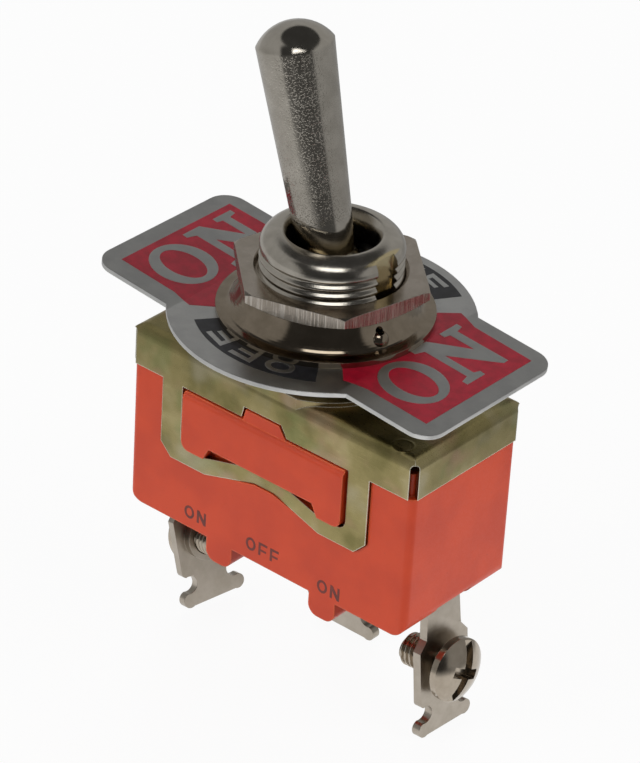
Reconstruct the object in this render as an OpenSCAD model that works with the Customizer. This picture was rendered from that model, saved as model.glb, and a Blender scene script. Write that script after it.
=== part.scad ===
// Panel toggle switch with an ON-OFF-ON lever, a threaded bushing with its nuts, washers and
// legend plate, a folded frame cover strapped round a moulded housing, and three screw terminals.
// Millimetres. +Z points along the bushing to the lever, +X to the right end of the housing.
// The origin is on the bushing's axis, on top of the cover's raised boss.

/* [Frame cover] */
// How far the folded cover stands over the housing at each end
cover_over = 0.14; // [0.05:0.01:0.4]
// How far the folded cover stands over the housing at each side
cover_side = 0.24; // [0.1:0.01:0.5]
// Depth of the folded flanges below the cover's flat
flange_h = 3.75; // [3.5:0.05:4.2]
// Thickness of the cover's sheet
sheet_t = 0.6; // [0.45:0.05:0.7]
// Outer radius of the folds
fold_r = 1.0; // [0.8:0.05:1.3]
// Width of the slit between two flanges at a corner, at the inside
slit_w = 0.5; // [0.3:0.05:0.7]
// Depth of a slit's round upper end below the cover's flat
slit_drop = 0.85; // [0.7:0.05:1.2]
// Widening of each side of a slit towards the outside, per length
slit_flare = 0.3; // [0:0.05:0.4]
// Height of the round boss above the cover's flat
boss_h = 0.4; // [0.3:0.05:0.6]
// Radius of the round boss
boss_r = 7.3; // [7.1:0.05:7.8]

/* [Strap] */
// Middle of the strap loop along the cover
loop_c = -0.45; // [-0.7:0.05:0.7]
// Width of each of the loop's two arms
arm_w = 2.2; // [1.8:0.05:2.6]
// Gap between the lug and each arm
lug_side = 0.3; // [0.15:0.05:0.5]
// Bevel of the loop's lower outer corners
loop_cut = 1.15; // [0.8:0.05:1.6]
// Depth of the loop's lower edge below the cover's flat
loop_drop = 11.1; // [10.8:0.05:11.8]
// Height of the strap's foot beside the crimp
foot_h = 1.6; // [1.3:0.05:1.9]
// Rise of the crimp at the strap's middle
crimp_rise = 1.3; // [0.8:0.05:1.4]
// Height of the strap at the crimp
crimp_h = 1.4; // [1.2:0.05:1.6]
// Length of the crimp along the strap
crimp_l = 12.4; // [11:0.1:13]
// How far the crimp is pressed in towards the housing
crimp_in = 0.35; // [0.1:0.05:0.4]

/* [Housing] */
// Length of the moulded housing below the flanges
body_l = 30.2; // [29.6:0.02:30.4]
// Width of the moulded housing below the flanges
body_w = 13.24; // [13:0.02:13.4]
// Depth of the housing's floor face below the cover's flat
body_drop = 17.27; // [16.9:0.05:18.5]
// Radius of the housing's upright corners
body_r = 0.6; // [0.5:0.1:1.5]
// Radius of the housing's lower edges at its two ends
end_r = 1.45; // [0.8:0.05:1.8]
// Thickness of the chamber's end walls
end_wall = 2.7; // [2.4:0.1:2.9]
// Thickness of the chamber's side walls
side_wall = 2.12; // [1.92:0.02:2.22]
// Thickness of the chamber's floor
floor_t = 1.67; // [1.5:0.05:1.9]
// Width of each rib under the floor
rib_w = 2.8; // [2.2:0.1:3]
// Depth of each rib under the floor
rib_h = 2.08; // [1.5:0.05:2.6]
// Place of the left rib
rib_left = -4.9; // [-5.1:0.1:-4.6]
// Place of the right rib
rib_right = 6.42; // [6:0.02:6.5]
// Radius of the ribs' lower edges
rib_r = 1.0; // [0.5:0.1:1.2]

/* [Lug] */
// Length of the lug that fills the strap's window
lug_l = 17.3; // [16.8:0.1:17.4]
// Radius of the lug's lower corners
lug_r = 0.8; // [0.4:0.1:1]
// Height of the lug
lug_h = 5.5; // [5.2:0.05:5.6]
// Height of the lug's face over the strap's face
lug_proud = 0.3; // [0.1:0.05:0.5]
// Width of the tab on top of the lug, at its root
tab_w = 4.7; // [4:0.1:5.4]
// Height of the tab
tab_h = 1.05; // [0.8:0.05:1.2]
// Depth of the recess under the lug for the crimp
lug_notch = 1.15; // [1.1:0.05:1.3]

/* [Bushing] */
// Thread diameter of the bushing
thread_d = 11.9; // [11.8:0.02:12.1]
// Height of the bushing's rim above the seat
bushing_h = 11.9; // [11.3:0.05:12.5]
// Height of the rim's round edge
lip_h = 0.75; // [0.4:0.05:0.9]
// Radius of the bore's mouth
mouth_r = 4.0; // [3.9:0.05:4.3]
// Radius of the neck that the lever stands in
neck_r = 3.5; // [3.4:0.05:3.7]
// Width of the keyway along the thread
key_w = 2.4; // [2:0.1:2.8]
// Depth of the keyway
key_d = 0.6; // [0.3:0.05:0.7]
// Thickness of the bushing's flange under the cover
flange_t = 1.0; // [0.8:0.05:1.1]

/* [Hardware] */
// Width of the nuts across their flats
nut_af = 14.96; // [14.5:0.02:16]
// Thickness of the front nut
nut_t = 1.53; // [1.4:0.01:1.9]
// Height of the nuts' lower bevel at their corners
nut_cut = 0.75; // [0.4:0.05:0.9]
// Turn of the front nut on the thread
nut_turn = -42.6; // [-60:0.1:60]
// Bare thread between the seat and the back nut
back_gap = 1.38; // [0.4:0.02:1.4]
// Thickness of the back nut
back_nut_t = 1.9; // [1.8:0.05:2.1]
// Thickness of the toothed lock washer
lock_t = 0.6; // [0.5:0.05:0.7]
// Diameter of the toothed lock washer
lock_d = 16.0; // [15.6:0.1:17]
// Diameter of the dished washer
dish_d = 18.04; // [17.6:0.02:19]
// Height of the dished washer
dish_h = 2.72; // [2.5:0.02:2.9]
// Thickness of the dished washer's sheet
dish_t = 0.5; // [0.4:0.05:0.6]

/* [Legend plate] */
// Diameter of the plate's disc
disc_d = 25.42; // [24.6:0.02:26.5]
// Thickness of the plate
plate_t = 0.4; // [0.35:0.01:0.5]
// Length over the two wings
wing_l = 35.84; // [34:0.02:38]
// Width of the wings
wing_w = 16.68; // [15.6:0.02:17.6]
// Radius of the wings' corners
wing_r = 2.0; // [1.2:0.1:2.6]
// Distance of the bends from the plate's middle
bend_x = 9.0; // [8.9:0.05:9.6]
// Bend of the left wing, up
bend_left = 5.65; // [0:0.05:7]
// Bend of the right wing, down
bend_right = 5.15; // [0:0.05:7]
// Offset of the plate in its clearance along the length
plate_dx = -0.4; // [-0.45:0.01:0.45]
// Offset of the plate in its clearance along the width
plate_dy = -0.33; // [-0.4:0.01:0.4]

/* [Lever] */
// Height of the lever's pivot above the seat
pivot_z = 7.62; // [7.5:0.02:7.8]
// Tilt of the lever at each end of its swing
lever_tilt = 14.8; // [13:0.1:15]
// Length from the pivot to the edge of the lever's domed tip
lever_l = 19.9; // [17:0.1:21]
// Radius of the lever at that edge
tip_r = 3.2; // [2.7:0.05:3.3]
// Height of the domed tip
tip_h = 1.76; // [1:0.02:2.6]
// Radius that the taper has at the pivot
root_r = 2.2; // [1.9:0.01:2.25]
// Radius of the ball that the lever turns on
ball_r = 3.1; // [3:0.05:3.2]
// Radius of the cross pin
pin_r = 0.8; // [0.7:0.05:0.9]
// Length of the arm below the pivot
arm_l = 11; // [10.5:0.1:11.4]
// Radius of the arm below the pivot
arm_r = 2.1; // [2.05:0.05:2.2]
// Radius of the bore in the arm
arm_bore = 1.5; // [1.45:0.05:1.55]
// Distance from the pivot to the closed end of the bore
bore_top = 3.5; // [3.3:0.05:3.7]

/* [Plunger and rocker] */
// Distance from the pivot down to the middle of the plunger's round head
plunger_l = 17.3; // [17:0.1:17.4]
// Radius of the plunger's head
plunger_r = 2.2; // [2.15:0.05:2.3]
// Wire diameter of the plunger's spring
wire_d = 0.3; // [0.25:0.01:0.35]
// Coils of the plunger's spring
coils = 6; // [5:1:8]
// Length of the fitted spring
spring_l = 4.7; // [4.4:0.1:5]
// Distance from the middle of the plunger's head down to the rocker's pivot
head_drop = 3.92; // [3.8:0.02:4.2]
// Part of the lever's swing that the rocker follows
rocker_ratio = 0.4; // [0.38:0.01:0.42]
// Width of the rocker
rocker_w = 5.2; // [4.8:0.1:5.4]
// Gap between the rocker and each ear of its support
ear_gap = 0.4; // [0.3:0.05:0.5]
// Thickness of the support's sheet
ear_t = 0.6; // [0.5:0.05:0.7]
// Distance of each contact from the chamber's end
contact_in = 2.5; // [2.3:0.05:2.6]
// Height of the fixed contacts above the floor
contact_h = 0.5; // [0.4:0.05:0.6]
// Radius of the rocker's trunnions
trunnion_r = 0.8; // [0.7:0.05:0.9]

/* [Terminals] */
// Thickness of the terminals
term_t = 0.8; // [0.7:0.05:0.85]
// Width of the terminals' blades
blade_w = 5.8; // [5.2:0.1:6]
// Width of the necks and legs
neck_w = 4.2; // [4:0.1:4.8]
// Height of the sloped shoulders between neck and blade
shoulder_h = 0.95; // [0.5:0.05:1.2]
// Length of the terminals below the floor face
term_l = 11.9; // [11.4:0.1:13]
// Width over the two hooks at the end
hook_w = 6.2; // [5.8:0.1:7.4]
// Depth of the screws below the floor face
screw_v = 5.8; // [5.6:0.1:6.4]
// Depth of the end terminals' outer faces behind the housing's ends
term_in = 1.05; // [0.8:0.05:1.2]
// Depth of the centre terminal's outer face behind the housing's side
term_side = 0.82; // [0.62:0.02:1.02]
// Lean of the right terminal, outwards
lean_right = 5.5; // [0:0.5:8]
// Lean of the left terminal, inwards
lean_left = 15; // [0:0.5:16]
// Twist of the left terminal about its length
twist_left = 13.5; // [0:0.5:15]
// Twist of the right terminal about its length
twist_right = -3.5; // [-5:0.5:5]
// How much further out the left terminal is bent, which draws its blade up as much
out_left = 0.25; // [0:0.05:0.3]

/* [Screws] */
// Thread diameter of the terminal screws
screw_d = 3.0; // [2.9:0.05:3.1]
// Diameter of the screw heads
head_d = 5.7; // [5.6:0.1:6.6]
// Height of the screw heads
head_h = 1.6; // [1.5:0.1:2.3]
// Height of the heads' upright rim
rim_h = 0.6; // [0.4:0.05:1]
// Length of the screws under their heads
screw_l = 5.0; // [4.6:0.1:5.4]
// How far the right screw is backed out
screw_out = 0.95; // [0:0.05:1.5]
// Width of the driver slots
slot_w = 0.9; // [0.6:0.05:1]
// Length of the recess across each slot
cross_l = 2.8; // [2.4:0.1:3.4]
// Depth of the slots
slot_d = 0.9; // [0.7:0.05:1.1]
// Turn of the driver slots
slot_turn = -26; // [-90:1:90]

/* [Clearances] */
// Gap round parts that sit in or on one another
fit = 0.05; // [0.03:0.01:0.06]
// Gap between the rebated housing and the cover, and round the strap
seat = 0.05; // [0.04:0.01:0.08]
// Gap round the lug and its tab
lug_gap = 0.2; // [0.12:0.01:0.24]

/* [Hidden] */
$fn = 96;

// Plan sizes that follow the housing and its lug
cover_l = body_l + 2 * cover_over;
cover_w = body_w + 2 * cover_side;
loop_in = lug_l + 2 * lug_side;
loop_out = loop_in + 2 * arm_w;
chamber_l = body_l - 2 * end_wall;
chamber_w = body_w - 2 * side_wall;
contact_x = chamber_l / 2 - contact_in;
term_x = body_l / 2 - term_in;
term_y = body_w / 2 - term_side;
// Heights, from the seat on the boss
flat_z = -boss_h;
flange_z = flat_z - flange_h;
sheet_z = -sheet_t - flange_t;
insul_t = 0.5;
top_z = sheet_z - insul_t;
floor_z = flat_z - body_drop;
chamber_z = floor_z + floor_t;
back_z = back_gap + back_nut_t;
lock_z = back_z + lock_t;
plate_z = lock_z + plate_t;
dish_z = plate_z + dish_h;
nut_z = dish_z + nut_t;
thread_r = thread_d / 2;
// The nuts are shown on the thread's pitch radius, the free end on its full radius
pitch_r = thread_r - 0.2;
insul_w = 12.2;
// Inside of the folded cover
in_l = cover_l / 2 - sheet_t;
in_w = cover_w / 2 - sheet_t;
// The boss is cut off beside the folds, just inside the flanges
boss_w = cover_w / 2 - 0.06;
// Strap
arm_o = loop_out / 2;
arm_i = loop_in / 2;
foot_z = flat_z - loop_drop;
crimp_half = crimp_l / 2;
// Lever and rocker
rocker_drop = plunger_l + head_drop;
rocker_z = pivot_z - rocker_drop;
rocker_tilt = lever_tilt * rocker_ratio;
taper = (tip_r - root_r) / lever_l;
ball_s = 2.2;
// Middle of the plunger's head in the rocker's own frame, at the end of the swing and at OFF
end_x = plunger_l * sin(lever_tilt);
end_z = rocker_drop - plunger_l * cos(lever_tilt);
way_x = end_x * cos(rocker_tilt) - end_z * sin(rocker_tilt);
way_z = end_x * sin(rocker_tilt) + end_z * cos(rocker_tilt);
mid_z = rocker_drop - plunger_l;
way_r = (way_x * way_x + pow(way_z - mid_z, 2)) / (2 * (way_z - mid_z));
dish_r = way_r + plunger_r + 0.08;
ear_y = rocker_w / 2 + ear_gap;
contact_z = chamber_z + contact_h;
face_r = 5;
face_z = (contact_z + 0.06 + face_r - rocker_z + contact_x * sin(rocker_tilt))
    / cos(rocker_tilt);
blade_h = 0.8;
// Terminals
leg_z = floor_z + 0.08;
bend_in = 0.3;
bend_out = bend_in + term_t;
neck_l = 2.7;
plate_r = thread_r + 0.6;
plunger_top = bore_top + spring_l + 0.1;

// Upright prism from a profile in X and Z, along Y
module along_y(w) {
    translate([0, w / 2, 0]) rotate([90, 0, 0]) linear_extrude(w) children();
}

// Prism from a profile in Y and Z, along X
module along_x(l) {
    translate([-l / 2, 0, 0]) rotate([90, 0, 90]) linear_extrude(l) children();
}

// Rectangle with four round corners
module round_rect(l, w, r) {
    square([l - 2 * r, w], center = true);
    square([l, w - 2 * r], center = true);
    for (x = [-1, 1], y = [-1, 1]) translate([x * (l / 2 - r), y * (w / 2 - r)]) circle(r);
}

// Section of a fold: flat top at z, half width h, round upper corners, open below at z1
module fold_section(h, z, r, z1) {
    translate([-h, z1]) square([2 * h, z - r - z1]);
    translate([-h + r, z1]) square([2 * h - 2 * r, z - z1]);
    for (x = [-1, 1]) translate([x * (h - r), z - r]) circle(r);
}

// The cover as a block: folded both ways, with the boss on top, grown inwards by t
module cover_block(t) {
    intersection() {
        along_x(cover_l + 2) fold_section(cover_w / 2 - t, flat_z - t, fold_r - t, flange_z - 20);
        along_y(cover_w + 2) fold_section(cover_l / 2 - t, flat_z - t, fold_r - t, flange_z - 20);
    }
    intersection() {
        translate([0, 0, flat_z - t - 1.2]) cylinder(r = boss_r - t, h = boss_h + 1.2);
        translate([-boss_r, -boss_w + t, -5]) cube([2 * boss_r, 2 * (boss_w - t), 5]);
    }
}

// Face of the strap loop seen from the front, g is a gap all round
module loop_face(g) {
    c = loop_cut;
    polygon([[-arm_o - g, flange_z + 1], [-arm_o - g, foot_z + c], [-arm_o + c, foot_z - g],
        [-crimp_half, foot_z - g], [-1, foot_z + crimp_rise - g], [1, foot_z + crimp_rise - g],
        [crimp_half, foot_z - g], [arm_o - c, foot_z - g], [arm_o + g, foot_z + c],
        [arm_o + g, flange_z + 1]]);
}

// Points of an arc about (x, z), from angle a to angle b
function arc(x, z, r, a, b) = [for (i = [0 : 6]) let (t = a + (b - a) * i / 6)
    [x + r * cos(t), z + r * sin(t)]];

// Window of the strap loop, up to the flange's edge
module loop_window() {
    u = foot_z + foot_h;
    polygon(concat([[-arm_i, flange_z]], arc(-arm_i + lug_r, u + lug_r, lug_r, 180, 270),
        [[-crimp_half, u], [-1.3, foot_z + crimp_rise + crimp_h],
        [1.3, foot_z + crimp_rise + crimp_h], [crimp_half, u]],
        arc(arm_i - lug_r, u + lug_r, lug_r, 270, 360), [[arm_i, flange_z]]));
}

// Plan of the strap's sheet: straight at the arms, pressed in along the crimp
module strap_plan(y0, t) {
    polygon([[-arm_o - 1, y0], [-crimp_half, y0], [-1.5, y0 + crimp_in], [1.5, y0 + crimp_in],
        [crimp_half, y0], [arm_o + 1, y0], [arm_o + 1, y0 + t], [crimp_half, y0 + t],
        [1.5, y0 + t + crimp_in], [-1.5, y0 + t + crimp_in], [-crimp_half, y0 + t],
        [-arm_o - 1, y0 + t]]);
}

// Face of the tab over the lug, g is a gap all round
module tab_face(g) {
    low = flange_z - lug_gap - 0.1;
    top = flange_z + tab_h - lug_gap + g;
    polygon([[-tab_w / 2 - g, low], [-tab_w / 2 + 0.3 - g, top], [tab_w / 2 - 0.8 + g, top],
        [tab_w / 2 + g, low]]);
}

module both_sides() {
    children();
    mirror([0, 1, 0]) children();
}

// Slit at the corner towards +X and +Y: diagonal, flared, with a round upper end
module corner_slit() {
    reach = 2;
    back = 0.5;
    s = slit_w / 2;
    wide = s + slit_flare * reach;
    z = flat_z - slit_drop;
    translate([in_l, in_w, 0]) rotate([0, 0, 45]) {
        translate([0, 0, flange_z - 1]) linear_extrude(z - flange_z + 1)
            polygon([[-back, -s], [0, -s], [reach, -wide], [reach, wide], [0, s], [-back, s]]);
        translate([-back, 0, z]) rotate([0, 90, 0]) cylinder(r = s, h = back, $fn = 48);
        translate([0, 0, z]) rotate([0, 90, 0]) cylinder(r1 = s, r2 = wide, h = reach, $fn = 48);
    }
}

module frame_cover() {
    out = 3 * sheet_t;
    color("#8f8558") difference() {
        union() {
            intersection() {
                difference() {
                    cover_block(0);
                    cover_block(sheet_t);
                }
                translate([-cover_l, -cover_w, flange_z])
                    cube([2 * cover_l, 2 * cover_w, flange_h + 2 * boss_h]);
            }
            both_sides() translate([loop_c, 0, 0]) intersection() {
                translate([0, -cover_w / 2 + out, 0]) rotate([90, 0, 0]) linear_extrude(2 * out)
                    difference() { loop_face(0); loop_window(); }
                translate([0, 0, foot_z - 1]) linear_extrude(loop_drop)
                    strap_plan(-cover_w / 2, sheet_t);
            }
        }
        both_sides() { corner_slit(); mirror([1, 0, 0]) corner_slit(); }
        // Notch for the lug's tab
        both_sides() translate([loop_c, -cover_w / 2 + 1, 0]) rotate([90, 0, 0])
            linear_extrude(2) tab_face(lug_gap);
        translate([0, 0, -5]) cylinder(r = thread_r + fit, h = 10);
    }
}

// Lug in the strap's window, on the front wall
module lug() {
    z1 = flange_z - lug_gap;
    x1 = lug_l / 2;
    z0 = z1 - lug_h;
    n = crimp_half - 0.2;
    f = cover_w / 2 + lug_proud;
    translate([loop_c, 0, 0]) intersection() {
        translate([0, -5, 0]) rotate([90, 0, 0]) linear_extrude(f - 5) union() {
            polygon(concat([[-x1, z1], [x1, z1]], arc(x1 - lug_r, z0 + lug_r, lug_r, 360, 270),
                [[n + 0.2, z0], [n - 0.4, z0 + lug_notch], [-n + 0.4, z0 + lug_notch],
                [-n - 0.2, z0]], arc(-x1 + lug_r, z0 + lug_r, lug_r, 270, 180)));
            tab_face(0);
        }
        along_x(lug_l + 1) {
            r = 0.6;
            translate([-f + r, z1 - lug_h - 1]) square([f - r, lug_h + 1 + 5]);
            translate([-f, z1 - lug_h - 1]) square([r + 1, lug_h + 1 - r]);
            translate([-f + r, z1 - r]) circle(r);
            translate([-cover_w / 2, z1 - lug_h]) square([1, lug_h + tab_h]);
        }
    }
}

// Rib under the floor
module rib(x) {
    translate([x, 0, 0]) along_y(body_w) {
        translate([-rib_w / 2, floor_z - rib_h + rib_r]) square([rib_w, rib_h]);
        translate([-rib_w / 2 + rib_r, floor_z - rib_h]) square([rib_w - 2 * rib_r, rib_h]);
        for (s = [-1, 1]) translate([s * (rib_w / 2 - rib_r), floor_z - rib_h + rib_r]) circle(rib_r);
    }
}

// Pocket under the floor for a terminal's leg, towards +X
module leg_pocket(reach, out) {
    g = 0.08;
    translate([reach, 0, floor_z - 1]) cylinder(r = neck_w / 2 + g, h = 1 + term_t + 2 * g);
    translate([reach, -neck_w / 2 - g, floor_z - 1])
        cube([out - reach, neck_w + 2 * g, 1 + term_t + 2 * g]);
}

module housing() {
    rebate_w = 2 * (in_w - seat);
    rebate_l = 2 * (in_l - seat);
    groove = cover_w / 2 - sheet_t - seat;
    color("#c64e37") difference() {
        union() {
            difference() {
                union() {
                    intersection() {
                        translate([0, 0, floor_z]) linear_extrude(flange_z - seat - floor_z)
                            round_rect(body_l, body_w, body_r);
                        mirror([0, 0, 1]) along_y(body_w + 2)
                            fold_section(body_l / 2, -floor_z, end_r, 0);
                    }
                    translate([0, 0, floor_z + 1]) linear_extrude(top_z - floor_z - 1)
                        round_rect(rebate_l, rebate_w, 0.4);
                    rib(rib_left);
                    rib(rib_right);
                }
                // Groove that the strap lies in
                both_sides() translate([loop_c, 0, 0]) {
                    translate([0, -groove, 0]) rotate([90, 0, 0]) linear_extrude(3) loop_face(seat);
                    intersection() {
                        translate([0, -groove + 1, 0]) rotate([90, 0, 0]) linear_extrude(3)
                            loop_face(seat);
                        translate([0, 0, foot_z - 1]) linear_extrude(loop_drop)
                            strap_plan(-cover_w / 2, sheet_t + seat);
                    }
                }
            }
            both_sides() lug();
        }
        // Chamber, open towards the cover
        translate([0, 0, chamber_z]) linear_extrude(20) round_rect(chamber_l, chamber_w, 0.8);
        // Rivet holes
        for (x = [-contact_x, 0, contact_x]) translate([x, 0, floor_z - 1])
            cylinder(r = 1.2 + fit, h = 4, $fn = 48);
        // Pockets of the three legs, and notches in the walls for their bends
        leg_pocket(contact_x, body_l);
        mirror([1, 0, 0]) leg_pocket(contact_x, body_l);
        rotate([0, 0, 90]) leg_pocket(0, body_w);
    }
}

module insulator_sheet() {
    color("#6b4a33") translate([0, 0, top_z]) difference() {
        linear_extrude(insul_t) round_rect(2 * in_l - 1, 2 * in_w - 0.3, 1);
        translate([0, 0, -1]) cylinder(r = 5.2, h = 3);
    }
}

module bushing() {
    lip = thread_r - mouth_r;
    lip_in = mouth_r + lip * 0.35;
    color("#b9b4ab") difference() {
        union() {
            // Flange under the cover, with two flats beside the folds
            translate([0, 0, sheet_z]) intersection() {
                cylinder(r = boss_r - sheet_t - 0.2, h = flange_t);
                translate([-20, -boss_w + sheet_t + fit, -1])
                    cube([40, 2 * (boss_w - sheet_t - fit), flange_t + 2]);
            }
            rotate_extrude() union() {
                translate([0, sheet_z]) square([pitch_r, nut_z - sheet_z]);
                translate([0, -sheet_t]) square([thread_r, sheet_t - 0.1]);
                translate([0, nut_z + 0.05]) square([thread_r, bushing_h - lip_h - nut_z - 0.05]);
                translate([0, nut_z]) square([lip_in, bushing_h - nut_z]);
                // Broad round lip
                intersection() {
                    translate([lip_in, bushing_h - lip_h]) scale([(thread_r - lip_in) / lip_h, 1])
                        circle(lip_h);
                    translate([0, nut_z + 0.05]) square([thread_r, 20]);
                }
            }
        }
        rotate_extrude() polygon([[0, sheet_z - 1], [4.95, sheet_z - 1], [4.95, sheet_z], [4.0, pivot_z + 1],
                [neck_r, pivot_z + 1.6], [neck_r, bushing_h - 1], [mouth_r, bushing_h - 0.1],
                [mouth_r + 0.12, bushing_h + 1], [0, bushing_h + 1]]);
        // Keyway on the +X side, full length of the thread
        translate([thread_r - key_d, -key_w / 2, -0.1]) cube([3, key_w, bushing_h + 1]);
        translate([0, 0, pivot_z]) rotate([90, 0, 0]) cylinder(r = pin_r, h = 20, center = true, $fn = 48);
    }
}

module lever_pin() {
    color("#c9c4bb") translate([0, 0, pivot_z]) rotate([90, 0, 0])
        cylinder(r = pin_r, h = 2 * pitch_r - 0.3, center = true, $fn = 48);
}

// Moves a piece drawn along the lever's own axis to its place at rest
module on_lever() {
    translate([0, 0, pivot_z]) rotate([0, -lever_tilt, 0]) children();
}

module lever() {
    arm_top = sqrt(ball_r * ball_r - arm_r * arm_r);
    dome_r = (tip_r * tip_r + tip_h * tip_h) / (2 * tip_h);
    color("#a9a39a") on_lever() difference() {
        rotate_extrude() difference() {
            union() {
                intersection() {
                    circle(ball_r);
                    translate([0, -ball_r]) square(2 * ball_r);
                }
                polygon([[0, 0], [root_r + taper * ball_s, ball_s], [tip_r, lever_l],
                    [0, lever_l + tip_h]]);
                intersection() {
                    translate([0, lever_l + tip_h - dome_r]) circle(dome_r);
                    translate([0, lever_l]) square(2 * tip_r);
                }
                translate([0, -arm_l]) square([arm_r, arm_l - arm_top + 0.1]);
            }
            translate([-1, -arm_l - 1]) square([arm_bore + 1, arm_l + 1 - bore_top]);
        }
        rotate([90, 0, 0]) cylinder(r = pin_r + fit, h = 20, center = true, $fn = 48);
    }
}

module plunger() {
    head_s = -plunger_l;
    color("#e8e4d8") on_lever() rotate_extrude() {
        translate([0, head_s]) square([arm_bore - fit, plunger_l - plunger_top]);
        translate([0, head_s]) square([plunger_r, 3.1]);
        intersection() {
            translate([0, head_s]) circle(plunger_r);
            translate([0, head_s - 3]) square([3, 3.01]);
        }
    }
}

// Spring between the arm's bore and the plunger
module plunger_spring() {
    h = spring_l - wire_d;
    r = arm_bore - 0.1 - wire_d;
    color("#d0d0d0") on_lever() translate([0, 0, 0.05 - plunger_top + wire_d / 2])
        linear_extrude(h, twist = -360 * coils, slices = 12 * coils, $fn = 8)
            translate([r, 0]) scale([1, 1.5]) circle(wire_d / 2, $fn = 8);
}

// Moves a piece drawn in the rocker's own frame to its place at rest
module on_rocker() {
    translate([0, 0, rocker_z]) rotate([0, rocker_tilt, 0]) children();
}

module rocker() {
    e = contact_x + 1.6;
    t = 5.2;
    color("#c58a3a") on_rocker() difference() {
        union() {
            along_y(rocker_w) difference() {
                polygon([[-e, -0.3], [-3.2, -0.3], [-2.2, -0.95], [2.2, -0.95], [3.2, -0.3], [e, -0.3],
                    [e, blade_h - 0.3], [t + 0.6, blade_h - 0.3], [t, mid_z - 0.9], [-t, mid_z - 0.9],
                    [-t - 0.6, blade_h - 0.3], [-e, blade_h - 0.3]]);
                translate([0, mid_z + way_r]) circle(dish_r, $fn = 192);
            }
            rotate([90, 0, 0])
                cylinder(r = trunnion_r, h = 2 * ear_y + 2 * ear_t + 0.4, center = true, $fn = 48);
        }
        for (x = [-1, 1]) translate([x * contact_x, 0, -2]) cylinder(r = 0.8 + fit, h = 4, $fn = 48);
    }
}

// Contact riveted to the rocker, with a domed face below
module rocker_contact(s) {
    low = face_z - face_r;
    color("#d8d8d4") on_rocker() translate([s * contact_x, 0, 0]) {
        translate([0, 0, -0.31]) cylinder(r = 0.8, h = blade_h + 0.1, $fn = 48);
        translate([0, 0, blade_h - 0.3]) cylinder(r = 1.2, h = 0.3, $fn = 48);
        intersection() {
            translate([0, 0, low - 1]) cylinder(r = 1.4, h = -0.3 - low + 1, $fn = 48);
            translate([0, 0, face_z]) sphere(face_r);
        }
    }
}

module rocker_support() {
    base_t = ear_t;
    color("#c9a04a") difference() {
        union() {
            translate([-3, -ear_y - base_t, chamber_z]) cube([6, 2 * (ear_y + base_t), base_t]);
            for (s = [-1, 1]) translate([0, s * (ear_y + base_t / 2), 0]) {
                translate([0, 0, rocker_z]) rotate([90, 0, 0])
                    cylinder(r = 1.6, h = base_t, center = true, $fn = 48);
                translate([-1.6, -base_t / 2, chamber_z]) cube([3.2, base_t, rocker_z - chamber_z]);
            }
        }
        translate([0, 0, rocker_z]) rotate([90, 0, 0])
            cylinder(r = trunnion_r + fit, h = 4 * rocker_w, center = true, $fn = 48);
        translate([0, 0, chamber_z - 1]) cylinder(r = 1.2 + fit, h = 3, $fn = 48);
    }
}

// Rivet through the floor and a terminal's leg: head of radius r and height h at z
module rivet(x, z, r, h) {
    translate([x, 0, 0]) {
        translate([0, 0, z]) cylinder(r = r, h = h, $fn = 48);
        translate([0, 0, leg_z - 0.3]) cylinder(r = 1.2, h = z - leg_z + 0.3, $fn = 48);
        translate([0, 0, leg_z - 0.45]) rotate_extrude($fn = 48)
            polygon([[0, 0], [1.5, 0], [1.9, 0.25], [1.9, 0.45], [0, 0.45]]);
    }
}

module centre_rivet() { color("#c9a04a") rivet(0, chamber_z + ear_t, 2.0, 0.4); }
module fixed_contact_left() { color("#d8d8d4") rivet(-contact_x, chamber_z, 1.6, contact_h); }
module fixed_contact_right() { color("#d8d8d4") rivet(contact_x, chamber_z, 1.6, contact_h); }

// Blade of a terminal below its neck, v runs down from the floor face
module blade_face() {
    b = term_l;
    h = blade_w / 2;
    w = hook_w / 2;
    g = neck_w / 2;
    difference() {
        union() {
            translate([-g, -neck_l - 0.2]) square([neck_w, 0.4]);
            translate([-h + 0.5, -b + 2.9]) square([2 * h - 1, 1]);
            polygon([[-h, -b + 3.4], [h, -b + 3.4], [h, -neck_l - shoulder_h], [g, -neck_l],
                [-g, -neck_l], [-h, -neck_l - shoulder_h]]);
            for (s = [-1, 1]) {
                translate([s * (h - 0.5), -b + 3.4]) circle(0.5, $fn = 32);
                translate([s * (w - 0.62), -b + 0.72]) circle(0.68, $fn = 32);
            }
            // Waist and the bar between the hooks
            translate([1.3 - w, -b + 1]) square([2 * w - 2.6, 3]);
            polygon([[-w + 0.9, -b + 0.12], [w - 0.9, -b + 0.12], [w - 0.4, -b + 1.3],
                [w - 1.4, -b + 2], [-w + 1.4, -b + 2], [-w + 0.4, -b + 1.3]]);
        }
        for (s = [-1, 1]) translate([s * (w - 0.75), -b + 2.15]) circle(0.8, $fn = 32);
    }
}

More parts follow.
